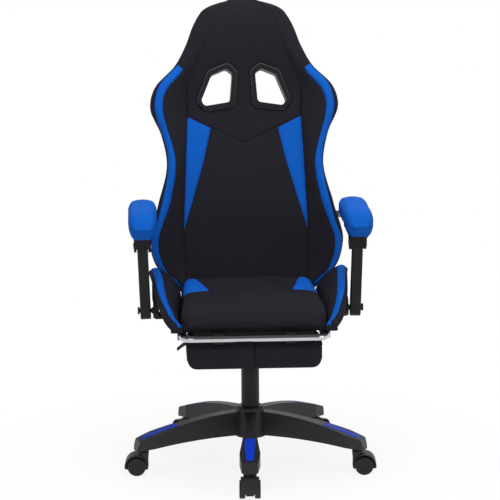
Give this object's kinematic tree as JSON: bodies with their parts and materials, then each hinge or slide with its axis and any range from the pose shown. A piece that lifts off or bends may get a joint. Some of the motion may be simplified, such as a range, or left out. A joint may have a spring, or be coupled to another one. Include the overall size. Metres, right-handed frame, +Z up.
{
  "type": "gaming chair",
  "caption": "Racing-style gaming chair with linked armrests, reclining bucket back, pull-out footrest, gas lift and a star base on casters.",
  "frame": {"origin": "on the floor under the swivel axis of the gas lift", "axes": "+Z up along the gas lift, the sitter faces -Y, +X on the sitter's left"},
  "size_m": [0.6943, 0.7229, 1.2715],
  "materials": {
    "black_fabric": "woven, matt",
    "blue_fabric": "woven, matt",
    "black_plastic": "moulded, fine grain",
    "black_nylon": "glass-filled nylon, satin",
    "blue_plastic": "satin",
    "wheel_plastic": "polyurethane, satin",
    "black_steel": "powder coated",
    "plain_steel": "zinc plated",
    "bright_bar": "polished",
    "dust_cloth": "non-woven"
  },
  "bodies": {
    "base": {"star_base": "black_nylon", "leg_inserts": "blue_plastic", "caster_stems": "plain_steel", "lift_outer_tube": "black_steel", "lift_guide_bush": "black_plastic", "lift_thrust_bearing": "plain_steel"},
    "lift_rod": {"lift_piston_rod": "plain_steel"},
    "mechanism": {"lift_inner_tube": "black_steel", "mechanism_housing": "black_steel", "tilt_pin": "plain_steel", "tilt_spring": "black_steel"},
    "lift_lever_arm": {"lift_lever": "black_steel", "lever_grip": "black_plastic"},
    "seat": {"seat_plate": "black_steel", "seat_bolts": "plain_steel", "seat_frame": "black_steel", "seat_dust_cover": "dust_cloth", "seat_cushion": "black_fabric", "seat_wings": "black_fabric", "arm_brackets": "black_steel", "arm_pivot_bolts": "black_steel", "recline_brackets": "black_steel", "recline_pins": "plain_steel", "recline_covers": "black_plastic", "footrest_guides": "black_steel"},
    "tension_adjuster": {"tension_knob": "black_plastic"},
    "backrest": {"back_frame": "black_steel", "back_cushion": "black_fabric", "front_bezels": "black_plastic", "rear_bezels": "black_plastic", "arm_link_pins": "plain_steel"},
    "recline_release": {"recline_lever": "black_plastic"},
    "footrest_slider": {"footrest_frame": "bright_bar"},
    "footrest": {"footrest_clamps": "black_steel", "footrest_pad": "black_fabric"},
    "arm_swing_left": {"arm_post_left": "black_steel"},
    "armrest_left": {"arm_shell_left": "black_plastic", "arm_link_left": "plain_steel", "arm_pad_left": "blue_fabric", "arm_pin_left": "plain_steel"},
    "arm_swing_right": {"arm_post_right": "black_steel"},
    "armrest_right": {"arm_shell_right": "black_plastic", "arm_link_right": "plain_steel", "arm_pad_right": "blue_fabric", "arm_pin_right": "plain_steel"},
    "caster_front": {"caster_front_hood": "black_nylon", "caster_front_axle": "plain_steel"},
    "caster_front_roll": {"caster_front_wheels": "wheel_plastic"},
    "caster_right": {"caster_right_hood": "black_nylon", "caster_right_axle": "plain_steel"},
    "caster_right_roll": {"caster_right_wheels": "wheel_plastic"},
    "caster_rear_right": {"caster_rear_right_hood": "black_nylon", "caster_rear_right_axle": "plain_steel"},
    "caster_rear_right_roll": {"caster_rear_right_wheels": "wheel_plastic"},
    "caster_rear_left": {"caster_rear_left_hood": "black_nylon", "caster_rear_left_axle": "plain_steel"},
    "caster_rear_left_roll": {"caster_rear_left_wheels": "wheel_plastic"},
    "caster_left": {"caster_left_hood": "black_nylon", "caster_left_axle": "plain_steel"},
    "caster_left_roll": {"caster_left_wheels": "wheel_plastic"}
  },
  "joints": [
    {"name": "seat_swivel", "type": "hinge", "parent": "base", "child": "lift_rod", "pos_m": [0, 0, 0.1], "axis": [0, 0, 1], "continuous": true},
    {"name": "height_lift", "type": "slide", "parent": "lift_rod", "child": "mechanism", "axis": [0, 0, 1], "range_m": [-0.06, 0.03]},
    {"name": "seat_tilt", "type": "hinge", "parent": "mechanism", "child": "seat", "pos_m": [0, -0.05, 0.388], "axis": [-1, 0, 0], "range_deg": [0, 14], "stiffness_Nm_per_rad": 300, "springref_deg": -14.32, "deforming": ["tilt_spring"]},
    {"name": "back_recline", "type": "hinge", "parent": "seat", "child": "backrest", "pos_m": [0, 0.2, 0.49], "axis": [-1, 0, 0], "range_deg": [-10, 35]},
    {"name": "recline_lever_lift", "type": "hinge", "parent": "seat", "child": "recline_release", "pos_m": [-0.25, 0.2, 0.49], "axis": [-1, 0, 0], "range_deg": [0, 35], "stiffness_Nm_per_rad": 0.6, "springref_deg": -17.19},
    {"name": "lift_lever_lift", "type": "hinge", "parent": "mechanism", "child": "lift_lever_arm", "pos_m": [-0.024, 0, 0.407], "axis": [0, 1, 0], "range_deg": [0, 8], "stiffness_Nm_per_rad": 3, "springref_deg": -8.59},
    {"name": "tension_turn", "type": "hinge", "parent": "seat", "child": "tension_adjuster", "pos_m": [0, -0.09, 0.35], "axis": [0, 0, 1], "range_deg": [-720, 720]},
    {"name": "footrest_pull", "type": "slide", "parent": "seat", "child": "footrest_slider", "axis": [0, -1, 0], "range_m": [0, 0.28]},
    {"name": "footrest_flip", "type": "hinge", "parent": "footrest_slider", "child": "footrest", "pos_m": [0, -0.283, 0.425], "axis": [-1, 0, 0], "range_deg": [0, 180]},
    {"name": "arm_post_left_swing", "type": "hinge", "parent": "seat", "child": "arm_swing_left", "pos_m": [-0.29, -0.055, 0.455], "axis": [-1, 0, 0], "range_deg": [-10, 35]},
    {"name": "armrest_left_level", "type": "hinge", "parent": "arm_swing_left", "child": "armrest_left", "pos_m": [-0.292, -0.055, 0.635], "axis": [-1, 0, 0], "range_deg": [-35, 10]},
    {"name": "arm_post_right_swing", "type": "hinge", "parent": "seat", "child": "arm_swing_right", "pos_m": [0.29, -0.055, 0.455], "axis": [-1, 0, 0], "range_deg": [-10, 35]},
    {"name": "armrest_right_level", "type": "hinge", "parent": "arm_swing_right", "child": "armrest_right", "pos_m": [0.292, -0.055, 0.635], "axis": [-1, 0, 0], "range_deg": [-35, 10]},
    {"name": "caster_front_swivel", "type": "hinge", "parent": "base", "child": "caster_front", "pos_m": [-0.01676, -0.30955, 0.06], "axis": [0, 0, 1], "continuous": true},
    {"name": "caster_front_spin", "type": "hinge", "parent": "caster_front", "child": "caster_front_roll", "pos_m": [-0.01774, -0.32752, 0.025], "axis": [0.9985, -0.0541, 0], "continuous": true},
    {"name": "caster_right_swivel", "type": "hinge", "parent": "base", "child": "caster_right", "pos_m": [0.28922, -0.1116, 0.06], "axis": [0, 0, 1], "continuous": true},
    {"name": "caster_right_spin", "type": "hinge", "parent": "caster_right", "child": "caster_right_roll", "pos_m": [0.30719, -0.11257, 0.025], "axis": [0.0541, 0.9985, 0], "continuous": true},
    {"name": "caster_rear_right_swivel", "type": "hinge", "parent": "base", "child": "caster_rear_right", "pos_m": [0.19551, 0.24057, 0.06], "axis": [0, 0, 1], "continuous": true},
    {"name": "caster_rear_right_spin", "type": "hinge", "parent": "caster_rear_right", "child": "caster_rear_right_roll", "pos_m": [0.20686, 0.25454, 0.025], "axis": [-0.776, 0.6307, 0], "continuous": true},
    {"name": "caster_rear_left_swivel", "type": "hinge", "parent": "base", "child": "caster_rear_left", "pos_m": [-0.16838, 0.26028, 0.06], "axis": [0, 0, 1], "continuous": true},
    {"name": "caster_rear_left_spin", "type": "hinge", "parent": "caster_rear_left", "child": "caster_rear_left_roll", "pos_m": [-0.17816, 0.2754, 0.025], "axis": [-0.8396, -0.5432, 0], "continuous": true},
    {"name": "caster_left_swivel", "type": "hinge", "parent": "base", "child": "caster_left", "pos_m": [-0.29958, -0.07971, 0.06], "axis": [0, 0, 1], "continuous": true},
    {"name": "caster_left_spin", "type": "hinge", "parent": "caster_left", "child": "caster_left_roll", "pos_m": [-0.31755, -0.07874, 0.025], "axis": [-0.0541, -0.9985, 0], "continuous": true}
  ],
  "couplings": [
    {"joint": "arm_post_left_swing", "follows": "back_recline", "ratio": 1},
    {"joint": "armrest_left_level", "follows": "back_recline", "ratio": -1},
    {"joint": "arm_post_right_swing", "follows": "back_recline", "ratio": 1},
    {"joint": "armrest_right_level", "follows": "back_recline", "ratio": -1}
  ]
}
